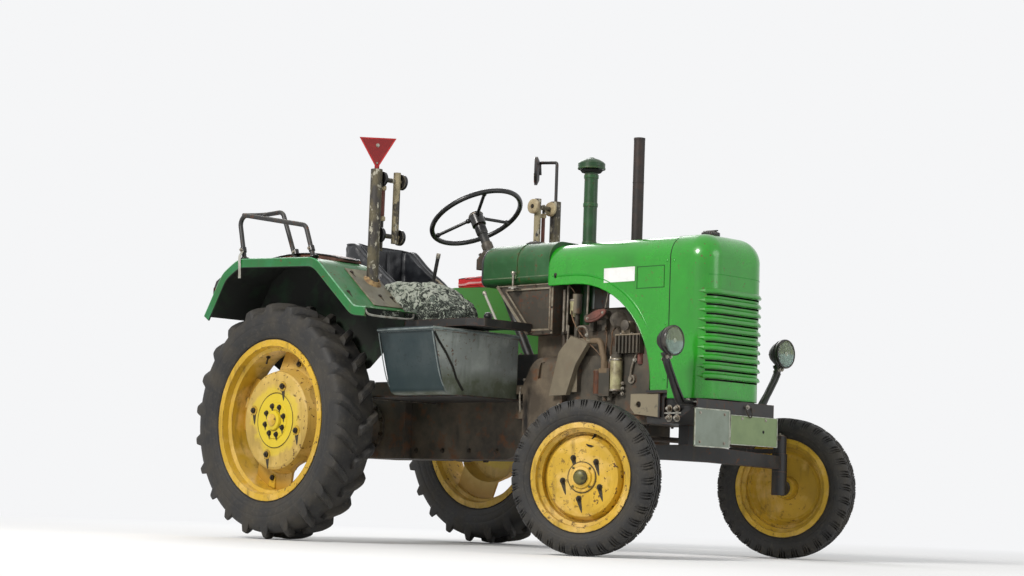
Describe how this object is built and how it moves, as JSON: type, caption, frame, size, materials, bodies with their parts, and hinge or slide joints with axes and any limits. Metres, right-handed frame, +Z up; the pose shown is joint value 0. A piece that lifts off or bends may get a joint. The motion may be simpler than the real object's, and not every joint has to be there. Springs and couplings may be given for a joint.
{
  "type": "farm tractor",
  "caption": "Small two-axle farm tractor with a louvred green cowl, fenders, bucket seat, side tub, yellow wheels, steerable front wheels and a rear hitch jaw.",
  "frame": {"origin": "on the ground at the middle of the tractor's length and width", "axes": "+X forward, +Y to the driver's left, +Z up"},
  "size_m": [2.7877, 1.7, 1.952],
  "materials": {
    "bright_green": "smooth gloss paint",
    "fender_green": "worn satin paint",
    "tank_green": "dull old paint",
    "wheel_yellow": "weathered paint with chips",
    "black_iron": "worn black paint",
    "casting": "oily dusty casting",
    "bare_plate": "grey-brown bare sheet",
    "galvanised": "galvanised sheet",
    "rusty_steel": "rusty pipe",
    "tyre_rubber": "dusty rubber",
    "black_vinyl": "black vinyl",
    "grey_cloth": "patterned cloth",
    "red_cloth": "red cloth with pale stripes",
    "lens": "ribbed glass",
    "mirror": "mirror glass",
    "red_reflector": "red reflector",
    "black_plastic": "black moulded grip",
    "plate_paint": "pale blank plates",
    "lamp_red": "dark red lamp"
  },
  "bodies": {
    "chassis": {"rear_axle_housing": "casting", "gearbox": "casting", "flywheel_housing": "casting", "engine_block": "casting", "cylinder_head": "casting", "engine_fittings": "casting", "front_frame": "black_iron", "axle_beam": "black_iron", "steering_gear": "black_iron", "bonnet": "bright_green", "grille_cowl": "bright_green", "radiator": "black_iron", "fuel_tank": "tank_green", "filler_caps": "black_iron", "exhaust_pipe": "rusty_steel", "air_intake": "tank_green", "dash_console": "bare_plate", "fender_left": "fender_green", "fender_right": "fender_green", "slope_plates": "bare_plate", "fender_posts": "rusty_steel", "reflector": "red_reflector", "mirror_housing": "black_iron", "mirror_glass": "mirror", "grab_rail": "black_iron", "seat": "black_vinyl", "seat_bracket": "black_iron", "right_pad": "grey_cloth", "left_pad": "red_cloth", "footboards": "black_iron", "side_bench": "black_iron", "side_tub": "galvanised", "controls": "black_iron", "headlamps": "black_iron", "headlamp_glasses": "lens", "number_plates": "plate_paint", "rear_lamps": "lamp_red", "hitch_jaw": "casting"},
    "steering_wheel": {"steering_wheel": "black_plastic"},
    "pitman_arm": {"pitman_arm": "casting"},
    "knuckle_left": {"knuckle_left": "black_iron"},
    "knuckle_right": {"knuckle_right": "black_iron"},
    "tie_rod": {"tie_rod": "rusty_steel"},
    "drag_link": {"drag_link": "black_iron"},
    "rear_wheel_left": {"rear_tyre_left": "tyre_rubber", "rear_rim_left": "wheel_yellow", "rear_disc_left": "wheel_yellow"},
    "rear_wheel_right": {"rear_tyre_right": "tyre_rubber", "rear_rim_right": "wheel_yellow", "rear_disc_right": "wheel_yellow"},
    "front_wheel_left": {"front_tyre_left": "tyre_rubber", "front_rim_left": "wheel_yellow"},
    "front_wheel_right": {"front_tyre_right": "tyre_rubber", "front_rim_right": "wheel_yellow"}
  },
  "joints": [
    {"name": "rear_spin_left", "type": "hinge", "parent": "chassis", "child": "rear_wheel_left", "pos_m": [-0.85, 0.69, 0.55], "axis": [0, 1, 0], "continuous": true},
    {"name": "rear_spin_right", "type": "hinge", "parent": "chassis", "child": "rear_wheel_right", "pos_m": [-0.85, -0.69, 0.55], "axis": [0, 1, 0], "continuous": true},
    {"name": "steer_left", "type": "hinge", "parent": "chassis", "child": "knuckle_left", "pos_m": [1.05, 0.61, 0.425], "axis": [0, 0, 1], "range_deg": [-57.5, 22.5]},
    {"name": "steer_right", "type": "hinge", "parent": "chassis", "child": "knuckle_right", "pos_m": [1.05, -0.61, 0.425], "axis": [0, 0, 1], "range_deg": [-57.5, 22.5]},
    {"name": "front_spin_left", "type": "hinge", "parent": "knuckle_left", "child": "front_wheel_left", "pos_m": [1.02294, 0.69583, 0.315], "axis": [-0.3007, 0.9537, 0], "continuous": true},
    {"name": "front_spin_right", "type": "hinge", "parent": "knuckle_right", "child": "front_wheel_right", "pos_m": [1.07706, -0.69583, 0.315], "axis": [-0.3007, 0.9537, 0], "continuous": true},
    {"name": "tie_rod_pivot", "type": "hinge", "parent": "knuckle_left", "child": "tie_rod", "pos_m": [0.91648, 0.5679, 0.475], "axis": [0, 0, 1], "range_deg": [-22.5, 57.5]},
    {"name": "drag_link_pivot", "type": "hinge", "parent": "knuckle_left", "child": "drag_link", "pos_m": [1.0921, 0.47648, 0.535], "axis": [0, 0, 1], "range_deg": [-22.5, 57.5]},
    {"name": "drop_arm_swing", "type": "hinge", "parent": "chassis", "child": "pitman_arm", "pos_m": [0.1, 0.236, 0.84], "axis": [0, 1, 0], "range_deg": [-15.5, 38.5]},
    {"name": "steering_wheel_turn", "type": "hinge", "parent": "chassis", "child": "steering_wheel", "pos_m": [-0.324, 0, 1.557], "axis": [-0.497, 0, 0.8678], "range_deg": [-640, 250]}
  ],
  "couplings": [
    {"joint": "steer_right", "follows": "steer_left", "ratio": 1},
    {"joint": "tie_rod_pivot", "follows": "steer_left", "ratio": -1},
    {"joint": "drag_link_pivot", "follows": "steer_left", "ratio": -1},
    {"joint": "drop_arm_swing", "follows": "steer_left", "ratio": -0.665},
    {"joint": "steering_wheel_turn", "follows": "steer_left", "ratio": 11}
  ]
}
